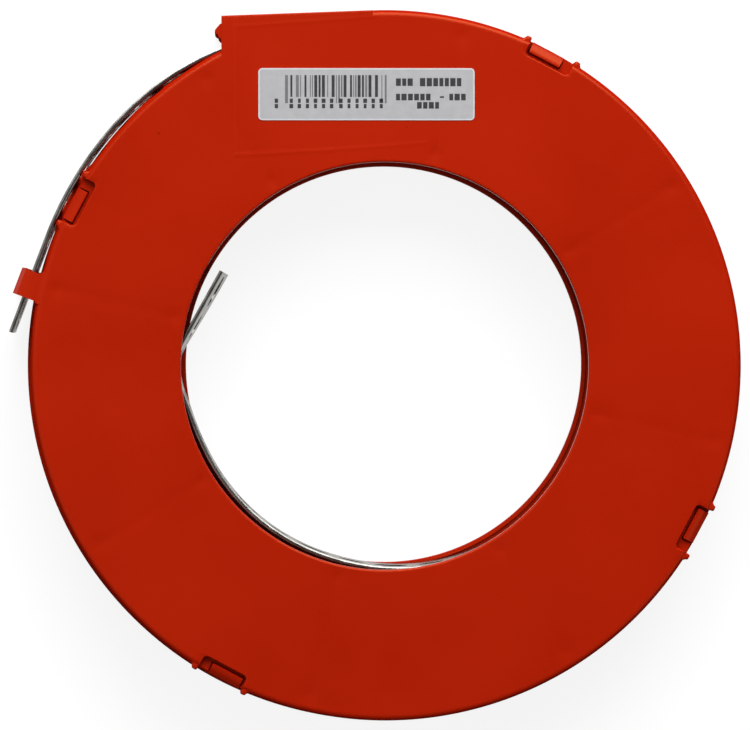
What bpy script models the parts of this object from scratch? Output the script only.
"""Perforated steel strap, wound up in its flat ring-shaped dispenser case.

The strap is a 26 x 1 mm punched steel band, about 10 m long. It lies as one
coil between the two moulded halves of the case, comes out through a slot at
the end of a short spout, runs a quarter of the way round the outside of the
rim and is held down by a small loop. Its inner end shows in the middle hole.

The case lies flat, its labelled face up. Metres, +Z up, +Y towards the spout.
"""
import math

import bmesh
import bpy
from mathutils import Matrix, Vector

# Clearance that two pieces keep where they touch
GAP = 0.0003

# Strap and coil
STRAP_WIDTH = 0.026
STRAP_THICKNESS = 0.001
COIL_BORE_RADIUS = 0.0506
COIL_TURNS = 23
TURN_PITCH = 0.00138
TURN_GROOVE_DEPTH = 0.0005
COIL_SEGMENTS = 36
RING_INSET = 0.0001

# Punched holes: a large and a small one take turns along the strap
LARGE_HOLE_DIAMETER = 0.0085
SMALL_HOLE_DIAMETER = 0.0065
HOLE_PITCH = 0.010
HOLE_SIDES = 14
END_MARGIN = 0.0048
TAIL_HOLES = 9
INNER_HOLES = 3

# Case halves
CASE_WALL = 0.0016
PLATE = 0.0015
RIB_HEIGHT = 0.0007
RIB_WIDTH = 0.0012
RIB_COUNT = 8
RIB_TURN = math.radians(32.0)
RIB_INSET = 0.0006
SKIRT_STEP = 0.001
LAP = 0.004
BACK_WALL_HEIGHT = 0.01395
EDGE_RADIUS = 0.0014
EDGE_STEPS = 4
HOLE_EDGE_RADIUS = 0.0004
FRONT_HOLE_LAP = 0.0009
BACK_HOLE_LAP = 0.0018
OUTLINE_STEPS = 72

# Snap hooks that hold the halves together
CLIP_ANGLES = [math.radians(62.0 + 90.0 * i) for i in range(4)]
HOOK_ARM = 0.0012
HOOK_WIDTH = 0.0082
HOOK_SHIFT = 0.001
HOOK_RECESS = 0.0008
HOOK_NOSE_HEIGHT = 0.0024
HOOK_SLOPE = 0.0018
HOOK_SLOPE_DROP = 0.001
HOOK_REACH = 0.0002
COIL_TO_HOOK = 0.0005
NOTCH_WIDTH = 0.0116
EAR_WIDTH = 0.0016
EAR_DROP = 0.0006

# Spout and its slot, where the strap comes out
SPOUT_TANGENT = math.radians(92.15)
SPOUT_REACH = 0.0396
SLOT_CLEARANCE = 0.0012
SLOT_MARGIN = 0.0007
SLOT_INNER_GAP = 0.0002
NIB_OUT = 0.0015
NIB_TOP_MARGIN = 0.0016
NIB_ROOT = 0.0008
NIB_SHOULDERS = (0.3, 0.6)

# Route of the strap's outer end, as angles round the case
TAIL_PAST_SPOUT = math.radians(1.06)
TAIL_RISE_TURN = math.radians(21.5)
TAIL_STRAIGHTENS = math.radians(159.2)
TAIL_MOUTH_RISE = 0.008
TAIL_STRAIGHT_LENGTH = 0.0247
TAIL_MOUTH_DROP = 0.0013

# Route of its inner end: the straight stretch, then how far the turn stands in from the coil
INNER_TIP = math.radians(150.4)
INNER_FOOT = math.radians(155.8)
INNER_BENDS = math.radians(174.0)
INNER_STRAIGHT_STAND = 0.0045
INNER_STANDS = (
    (math.radians(183.0), 0.0008),
    (math.radians(218.0), 0.00145),
    (math.radians(285.0), 0.0007),
    (math.radians(325.0), -0.0008),
)
STRIP_STEP = math.radians(3.0)
STRIP_BURY = 0.0007

# Loop that holds the strap's outer end down
LOOP_START = 0.0093
LOOP_WIDTH = 0.0066
LOOP_SLACK = 0.0009
LOOP_WALL = 0.0015
LOOP_DROP = 0.0002
LOOP_ROOT = 0.0034
LOOP_BEVEL = 0.0006

# Label stuck on the front plate
LABEL_LENGTH = 0.0525
LABEL_HEIGHT = 0.0126
LABEL_THICKNESS = 0.00015
LABEL_CORNER = 0.001
LABEL_SHIFT = -0.0046
LABEL_TO_RIM = 0.01404
CORNER_STEPS = 4

# Sizes that follow from the ones above
COIL_RADIUS = COIL_BORE_RADIUS + COIL_TURNS * TURN_PITCH
HOOK_INNER_RADIUS = COIL_RADIUS + COIL_TO_HOOK
FRONT_RADIUS = HOOK_INNER_RADIUS + HOOK_ARM + GAP + CASE_WALL
BACK_RADIUS = FRONT_RADIUS + SKIRT_STEP
FRONT_HOLE_RADIUS = COIL_BORE_RADIUS - FRONT_HOLE_LAP
BACK_HOLE_RADIUS = COIL_BORE_RADIUS - BACK_HOLE_LAP
STRAP_LOW = PLATE + RIB_HEIGHT + GAP
STRAP_HIGH = STRAP_LOW + STRAP_WIDTH
CASE_DEPTH = STRAP_HIGH + GAP + RIB_HEIGHT + PLATE
LABEL_MIDDLE = FRONT_RADIUS - LABEL_TO_RIM - 0.5 * LABEL_HEIGHT
NOTCH_FLOOR = CASE_DEPTH - HOOK_RECESS - HOOK_NOSE_HEIGHT - GAP
TAIL_RADIUS = BACK_RADIUS + GAP + STRAP_THICKNESS
TAIL_AT_MOUTH = math.acos(-SPOUT_REACH / FRONT_RADIUS) + TAIL_PAST_SPOUT
TAIL_LEAVES = TAIL_AT_MOUTH - TAIL_RISE_TURN
TAIL_SETTLES = TAIL_AT_MOUTH + TAIL_RISE_TURN


def polar(radius, angle):
    """Point at a radius and an angle round the case's axis."""
    return Vector((radius * math.cos(angle), radius * math.sin(angle)))


def material(name, colour, roughness, metallic=0.0):
    """Plain Principled material."""
    result = bpy.data.materials.new(name)
    result.use_nodes = True
    shader = result.node_tree.nodes["Principled BSDF"]
    shader.inputs["Base Color"].default_value = (*colour, 1.0)
    shader.inputs["Roughness"].default_value = roughness
    shader.inputs["Metallic"].default_value = metallic
    return result


def make_object(name, corners, faces, finish=None):
    """Closed mesh object with its faces pointing out."""
    mesh = bpy.data.meshes.new(name)
    mesh.from_pydata([tuple(corner) for corner in corners], [], faces)
    shape = bmesh.new()
    shape.from_mesh(mesh)
    bmesh.ops.recalc_face_normals(shape, faces=shape.faces)
    shape.to_mesh(mesh)
    shape.free()
    result = bpy.data.objects.new(name, mesh)
    bpy.context.scene.collection.objects.link(result)
    if finish:
        mesh.materials.append(finish)
    return result


def ring_of_loops(loops):
    """Corners and faces of a solid whose skin joins closed loops, the last one to the first."""
    count = len(loops[0])
    corners = [point for loop in loops for point in loop]
    faces = []
    for row in range(len(loops)):
        here = row * count
        there = (row + 1) % len(loops) * count
        for i in range(count):
            j = (i + 1) % count
            faces.append((here + i, here + j, there + j, there + i))
    return corners, faces


def between(first, last):
    """Corners and faces of a solid that joins two like loops and is closed at both."""
    count = len(first)
    faces = [tuple(range(count)), tuple(range(count, 2 * count))]
    for i in range(count):
        j = (i + 1) % count
        faces.append((i, j, count + j, count + i))
    return first + last, faces


def prism(outline, low, high):
    """Upright solid over a flat outline."""
    return between([(x, y, low) for x, y in outline], [(x, y, high) for x, y in outline])


def sweep(section, base, out, start, stop):
    """Solid with a section of (distance out, level) points, drawn out level from start to stop."""
    along = Vector((-out.y, out.x))
    ends = []
    for run in (start, stop):
        spot = base + along * run
        ends.append([(*(spot + out * distance), level) for distance, level in section])
    return between(*ends)


def gather(parts):
    """Join several lots of corners and faces into one."""
    corners = []
    faces = []
    for part_corners, part_faces in parts:
        start = len(corners)
        corners += list(part_corners)
        faces += [tuple(start + i for i in face) for face in part_faces]
    return corners, faces


def combine(target, name, parts, operation):
    """Add solids to an object, or cut them out of it, with a hidden tool object."""
    tool = make_object(name, *gather(parts))
    tool.hide_render = True
    tool.display_type = "WIRE"
    step = target.modifiers.new(name, "BOOLEAN")
    step.operation = operation
    step.object = tool
    step.solver = "EXACT"
    step.use_self = True


def radial_block(angle, inner, outer, width, low, high):
    """Upright block that lies along a radius."""
    section = [(inner, low), (outer, low), (outer, high), (inner, high)]
    return sweep(section, Vector((0.0, 0.0)), polar(1.0, angle), -0.5 * width, 0.5 * width)


def case_outline(inset, end_inset, level):
    """Closed loop of the case: the round rim and the spout that runs off it on a tangent.

    inset moves the rim and the spout's long side inwards, and end_inset moves the spout's end.
    """
    radius = FRONT_RADIUS - inset
    end_x = end_inset - SPOUT_REACH
    start = math.acos(end_x / radius)
    stop = SPOUT_TANGENT + 2.0 * math.pi
    flat = [polar(radius, start + (stop - start) * i / OUTLINE_STEPS) for i in range(OUTLINE_STEPS + 1)]
    foot = flat[-1]
    along = (end_x - foot.x) / -math.sin(SPOUT_TANGENT)
    corner = foot + along * Vector((-math.sin(SPOUT_TANGENT), math.cos(SPOUT_TANGENT)))
    flat.append(foot.lerp(corner, 0.5))
    flat.append(corner)
    return [Vector((p.x, p.y, level)) for p in flat]


def hole_loop(radius, level):
    """Closed round loop with one point on each radius of the case's outline."""
    angles = [math.atan2(p.y, p.x) for p in case_outline(0.0, 0.0, 0.0)]
    return [Vector((*polar(radius, angle), level)) for angle in angles]


def rounded_edge(outer_inset, face_level, inward):
    """Outline loops that turn a face into a wall on an arc. inward is -1 under a top face."""
    loops = []
    for i in range(EDGE_STEPS + 1):
        turn = 0.5 * math.pi * i / EDGE_STEPS
        inset = outer_inset + EDGE_RADIUS * (1.0 - math.sin(turn))
        level = face_level + inward * EDGE_RADIUS * (1.0 - math.cos(turn))
        loops.append(case_outline(inset, 0.0, level))
    return loops


def ease(start, stop, share, start_slope, stop_slope):
    """Cubic from start to stop with given slopes."""
    a = 2.0 * share ** 3 - 3.0 * share ** 2 + 1.0
    b = share ** 3 - 2.0 * share ** 2 + share
    c = share ** 3 - share ** 2
    return a * start + (1.0 - a) * stop + b * start_slope + c * stop_slope


def tail_radius(angle):
    """Radius of the strap's outer face on its way from the coil to the outside of the rim."""
    mouth = TAIL_RADIUS - TAIL_MOUTH_DROP
    if angle < TAIL_LEAVES:
        return COIL_RADIUS - STRIP_BURY
    if angle < TAIL_AT_MOUTH:
        span = TAIL_AT_MOUTH - TAIL_LEAVES
        share = (angle - TAIL_LEAVES) / span
        return ease(COIL_RADIUS - STRIP_BURY, mouth, share, 0.0, TAIL_MOUTH_RISE * span)
    if angle < TAIL_SETTLES:
        span = TAIL_SETTLES - TAIL_AT_MOUTH
        share = (angle - TAIL_AT_MOUTH) / span
        return ease(mouth, TAIL_RADIUS, share, TAIL_MOUTH_RISE * span, 0.0)
    return TAIL_RADIUS


def tail_route(first_angle):
    """Outer face of the strap from an angle inside the spout to its outer tip."""
    steps = round((TAIL_STRAIGHTENS - first_angle) / STRIP_STEP)
    turn = (TAIL_STRAIGHTENS - first_angle) / steps
    angles = [first_angle + turn * i for i in range(steps + 1)]
    route = [polar(tail_radius(angle), angle) for angle in angles]
    route.append(route[-1] + TAIL_STRAIGHT_LENGTH * polar(1.0, TAIL_STRAIGHTENS + 0.5 * math.pi))
    return route


def inner_radius(angle):
    """Radius of the strap's outer face from its inner tip to where it joins the coil."""
    foot_radius = COIL_BORE_RADIUS - INNER_STRAIGHT_STAND
    if angle < INNER_BENDS:
        return foot_radius / math.cos(angle - INNER_FOOT)
    bend_radius = foot_radius / math.cos(INNER_BENDS - INNER_FOOT)
    bend_slope = bend_radius * math.tan(INNER_BENDS - INNER_FOOT)
    stations = [(INNER_BENDS, bend_radius, bend_slope)]
    stations += [(at, COIL_BORE_RADIUS - stand, 0.0) for at, stand in INNER_STANDS]
    for (a, low, low_slope), (b, high, high_slope) in zip(stations, stations[1:]):
        if angle <= b:
            return ease(low, high, (angle - a) / (b - a), low_slope * (b - a), high_slope * (b - a))
    return stations[-1][1]


def inner_route():
    """Outer face of the strap from its inner tip to where it joins the coil."""
    last = INNER_STANDS[-1][0]
    steps = round((last - INNER_BENDS) / STRIP_STEP)
    angles = [INNER_TIP] + [INNER_BENDS + (last - INNER_BENDS) * i / steps for i in range(steps + 1)]
    return [polar(inner_radius(angle), angle) for angle in angles]


def route_sides(route):
    """Unit vectors that point from the strap's outer face towards the case's axis."""
    sides = []
    for i, point in enumerate(route):
        before = route[max(i - 1, 0)]
        after = route[min(i + 1, len(route) - 1)]
        along = (after - before).normalized()
        sides.append(Vector((-along.y, along.x)))
    return sides


def strip(route, outside, inside, low, high):
    """Upright band along a route: from outside beyond it to inside within it."""
    sides = route_sides(route)
    outer = [point - side * outside for point, side in zip(route, sides)]
    inner = [point + side * inside for point, side in zip(route, sides)]
    return prism(outer + inner[::-1], low, high)


def place_along(route, distance):
    """Point and direction at a distance from the route's last point."""
    left = distance
    for end, start in zip(route[::-1], route[-2::-1]):
        run = (end - start).length
        if left <= run:
            return end + (start - end) * (left / run), (end - start).normalized()
        left -= run
    return route[0], (route[1] - route[0]).normalized()


def hole_punch(route, distance, diameter):
    """Round cutter across the strap, at a distance from the route's last point."""
    centre, along = place_along(route, distance)
    across = Vector((-along.y, along.x))
    reach = 3.0 * STRAP_THICKNESS
    middle = 0.5 * (STRAP_LOW + STRAP_HIGH)
    loops = []
    for depth in (-reach, reach):
        loop = []
        for i in range(HOLE_SIDES):
            turn = 2.0 * math.pi * (i + 0.5) / HOLE_SIDES
            flat = centre + across * depth + along * (0.5 * diameter * math.cos(turn))
            loop.append((flat.x, flat.y, middle + 0.5 * diameter * math.sin(turn)))
        loops.append(loop)
    return between(*loops)


def hole_row(route, count, first_large):
    """Cutters for the holes nearest to the route's last point, large and small in turn."""
    punches = []
    for i in range(count):
        large = (i % 2 == 0) == first_large
        diameter = LARGE_HOLE_DIAMETER if large else SMALL_HOLE_DIAMETER
        punches.append(hole_punch(route, END_MARGIN + i * HOLE_PITCH, diameter))
    return punches


def build_strap(finish):
    """One coil, turned, with a groove between turns on its ends, and the strap's two free ends."""
    low = STRAP_LOW + RING_INSET
    high = STRAP_HIGH - RING_INSET
    bottom = []
    for i in range(COIL_TURNS):
        edge = COIL_BORE_RADIUS + i * TURN_PITCH
        bottom.append((edge, TURN_GROOVE_DEPTH))
        bottom.append((edge + 0.5 * TURN_PITCH, 0.0))
    bottom.append((COIL_RADIUS, TURN_GROOVE_DEPTH))
    section = [(radius, low + depth) for radius, depth in bottom]
    section += [(radius, high - depth) for radius, depth in bottom[::-1]]
    turns = [2.0 * math.pi * i / COIL_SEGMENTS for i in range(COIL_SEGMENTS)]
    loops = [[Vector((*polar(radius, turn), level)) for turn in turns] for radius, level in section]
    strap = make_object("strap", *ring_of_loops(loops), finish)

    tail = tail_route(TAIL_LEAVES - 2.0 * STRIP_STEP)
    inner = inner_route()
    ends = [
        strip(tail, 0.0, STRAP_THICKNESS, STRAP_LOW, STRAP_HIGH),
        strip(inner, 0.0, STRAP_THICKNESS, STRAP_LOW, STRAP_HIGH),
    ]
    combine(strap, "strap_ends", ends, "UNION")
    punches = hole_row(tail, TAIL_HOLES, True)
    punches += hole_row(inner[::-1], INNER_HOLES, True)
    combine(strap, "strap_punch", punches, "DIFFERENCE")
    return strap


def slot_cutter():
    """Way of the strap through the case's wall, from inside the spout to the outside of the rim."""
    route = tail_route(TAIL_LEAVES)
    steps = round((TAIL_SETTLES - TAIL_LEAVES) / STRIP_STEP)
    shown = route[:steps + 2]
    low = STRAP_LOW - SLOT_MARGIN
    high = STRAP_HIGH + SLOT_MARGIN
    return strip(shown, SLOT_CLEARANCE, STRAP_THICKNESS + SLOT_INNER_GAP, low, high)


def half_loop(end, face, back):
    """Half of the loop over the strap's straight stretch, from its end at the seam to its face.

    The tab that carries the half lies between the levels face and back.
    """
    inner = LOOP_SLACK
    outer = LOOP_SLACK + LOOP_WALL
    shoulder = face + math.copysign(LOOP_BEVEL, end - face)
    section = [(-LOOP_ROOT, back), (inner, back), (inner, end), (outer, end), (outer, shoulder),
               (outer - LOOP_BEVEL, face), (-LOOP_ROOT, face)]
    foot = polar(TAIL_RADIUS, TAIL_STRAIGHTENS)
    return sweep(section, foot, polar(1.0, TAIL_STRAIGHTENS), LOOP_START, LOOP_START + LOOP_WIDTH)


def hook(angle):
    """Snap hook: an arm that stands up inside the case's wall, and the sloped nose at its top."""
    arm_outer = HOOK_INNER_RADIUS + HOOK_ARM
    nose = FRONT_RADIUS + HOOK_REACH
    top = CASE_DEPTH - HOOK_RECESS
    under = top - HOOK_NOSE_HEIGHT
    root = 0.5 * PLATE
    section = [(HOOK_INNER_RADIUS, root), (arm_outer, root), (arm_outer, under), (nose, under),
               (nose, top - HOOK_SLOPE_DROP), (nose - HOOK_SLOPE, top), (HOOK_INNER_RADIUS, top)]
    start = HOOK_SHIFT - 0.5 * HOOK_WIDTH
    return sweep(section, Vector((0.0, 0.0)), polar(1.0, angle), start, start + HOOK_WIDTH)


def nib(low, high):
    """Small stiffening nib on the spout's end, just outside the slot."""
    slot_top = polar(tail_radius(TAIL_AT_MOUTH) + SLOT_CLEARANCE, TAIL_AT_MOUTH).y
    corner = case_outline(0.0, 0.0, 0.0)[-1]
    top = corner.y - NIB_TOP_MARGIN
    run = top - slot_top
    x = corner.x
    outline = [
        (x + NIB_ROOT, slot_top),
        (x, slot_top),
        (x - NIB_OUT, slot_top + NIB_SHOULDERS[0] * run),
        (x - NIB_OUT, slot_top + NIB_SHOULDERS[1] * run),
        (x, top),
        (x + NIB_ROOT, top),
    ]
    return prism(outline, low, high)


def plate_ribs(low, high):
    """Low ribs on the inner face of a plate, which the edges of the strap run on."""
    inner = COIL_BORE_RADIUS + RIB_INSET
    outer = COIL_RADIUS - RIB_INSET
    ribs = []
    for i in range(RIB_COUNT):
        angle = RIB_TURN + 2.0 * math.pi * i / RIB_COUNT
        ribs.append(radial_block(angle, inner, outer, RIB_WIDTH, low, high))
    return ribs


def build_front(finish):
    """Upper half: plate, wall with a lip, notches between ears, spout and loop."""
    top = CASE_DEPTH
    under = CASE_DEPTH - PLATE
    cavity_end = CASE_WALL + SKIRT_STEP
    lip_end = SKIRT_STEP + GAP
    lip_low = BACK_WALL_HEIGHT - LAP
    loops = [
        hole_loop(FRONT_HOLE_RADIUS, top - HOLE_EDGE_RADIUS),
        hole_loop(FRONT_HOLE_RADIUS + HOLE_EDGE_RADIUS, top),
    ]
    loops += rounded_edge(0.0, top, -1.0)
    loops += [
        case_outline(0.0, 0.0, BACK_WALL_HEIGHT),
        case_outline(GAP, lip_end, BACK_WALL_HEIGHT),
        case_outline(GAP, lip_end, lip_low),
        case_outline(CASE_WALL, cavity_end, lip_low),
        case_outline(CASE_WALL, cavity_end, under),
        hole_loop(FRONT_HOLE_RADIUS, under),
    ]
    front = make_object("case_front", *ring_of_loops(loops), finish)

    added = plate_ribs(under - RIB_HEIGHT, under + 0.5 * PLATE)
    added.append(half_loop(BACK_WALL_HEIGHT, top - LOOP_DROP, under))
    added.append(nib(BACK_WALL_HEIGHT, top - LOOP_DROP))
    ear_turn = math.asin(0.5 * (NOTCH_WIDTH + EAR_WIDTH) / FRONT_RADIUS)
    for angle in CLIP_ANGLES:
        for ear_angle in (angle - ear_turn, angle + ear_turn):
            added.append(radial_block(ear_angle, FRONT_RADIUS - 0.5 * CASE_WALL, BACK_RADIUS,
                                      EAR_WIDTH, BACK_WALL_HEIGHT + EAR_DROP, top - EAR_DROP))
    combine(front, "front_added", added, "UNION")

    notch_inner = HOOK_INNER_RADIUS - COIL_TO_HOOK
    cuts = [slot_cutter()]
    for angle in CLIP_ANGLES:
        cuts.append(radial_block(angle, notch_inner, BACK_RADIUS + CASE_WALL, NOTCH_WIDTH,
                                 NOTCH_FLOOR, top + PLATE))
    combine(front, "front_cuts", cuts, "DIFFERENCE")
    return front


def build_back(finish):
    """Lower half: plate, wall with a skirt round the upper half's lip, hooks, spout and loop."""
    cavity_end = CASE_WALL + SKIRT_STEP
    rebate = BACK_WALL_HEIGHT - LAP - GAP
    loops = [
        hole_loop(BACK_HOLE_RADIUS, HOLE_EDGE_RADIUS),
        hole_loop(BACK_HOLE_RADIUS + HOLE_EDGE_RADIUS, 0.0),
    ]
    loops += rounded_edge(-SKIRT_STEP, 0.0, 1.0)
    loops += [
        case_outline(-SKIRT_STEP, 0.0, BACK_WALL_HEIGHT),
        case_outline(0.0, SKIRT_STEP, BACK_WALL_HEIGHT),
        case_outline(0.0, SKIRT_STEP, rebate),
        case_outline(CASE_WALL, cavity_end, rebate),
        case_outline(CASE_WALL, cavity_end, PLATE),
        hole_loop(BACK_HOLE_RADIUS, PLATE),
    ]
    back = make_object("case_back", *ring_of_loops(loops), finish)

    added = plate_ribs(0.5 * PLATE, PLATE + RIB_HEIGHT)
    added.append(half_loop(BACK_WALL_HEIGHT - GAP, LOOP_DROP, PLATE))
    added.append(nib(LOOP_DROP, BACK_WALL_HEIGHT - GAP))
    added += [hook(angle) for angle in CLIP_ANGLES]
    combine(back, "back_added", added, "UNION")
    combine(back, "back_cuts", [slot_cutter()], "DIFFERENCE")
    return back


def build_label(finish):
    """Paper label with rounded corners, on the front plate beside the spout."""
    outline = []
    for quarter, (side_x, side_y) in enumerate(((1, 1), (-1, 1), (-1, -1), (1, -1))):
        centre_x = LABEL_SHIFT + side_x * (0.5 * LABEL_LENGTH - LABEL_CORNER)
        centre_y = LABEL_MIDDLE + side_y * (0.5 * LABEL_HEIGHT - LABEL_CORNER)
        for i in range(CORNER_STEPS + 1):
            turn = 0.5 * math.pi * (quarter + i / CORNER_STEPS)
            x = centre_x + LABEL_CORNER * math.cos(turn)
            y = centre_y + LABEL_CORNER * math.sin(turn)
            outline.append((x, y))
    low = CASE_DEPTH + GAP
    return make_object("label", *prism(outline, low, low + LABEL_THICKNESS), finish)


def stand_on_origin(pieces):
    """Move everything so that the middle of the whole object's underside is the origin."""
    view = bpy.context.evaluated_depsgraph_get()
    corners = [corner.co for piece in pieces for corner in piece.evaluated_get(view).data.vertices]
    low = Vector([min(corner[i] for corner in corners) for i in range(3)])
    high = Vector([max(corner[i] for corner in corners) for i in range(3)])
    middle = 0.5 * (low + high)
    shift = Matrix.Translation((-middle.x, -middle.y, -low.z))
    for item in bpy.context.scene.objects:
        item.data.transform(shift)


def build():
    """Make the whole object."""
    for old in list(bpy.data.objects):
        bpy.data.objects.remove(old)
    red_plastic = material("red_plastic", (0.48, 0.016, 0.003), 0.38)
    steel = material("steel", (0.52, 0.50, 0.47), 0.32, 1.0)
    paper = material("paper", (0.6, 0.61, 0.63), 0.6)
    pieces = [build_front(red_plastic), build_back(red_plastic.copy()), build_strap(steel)]
    pieces.append(build_label(paper))
    stand_on_origin(pieces)


build()
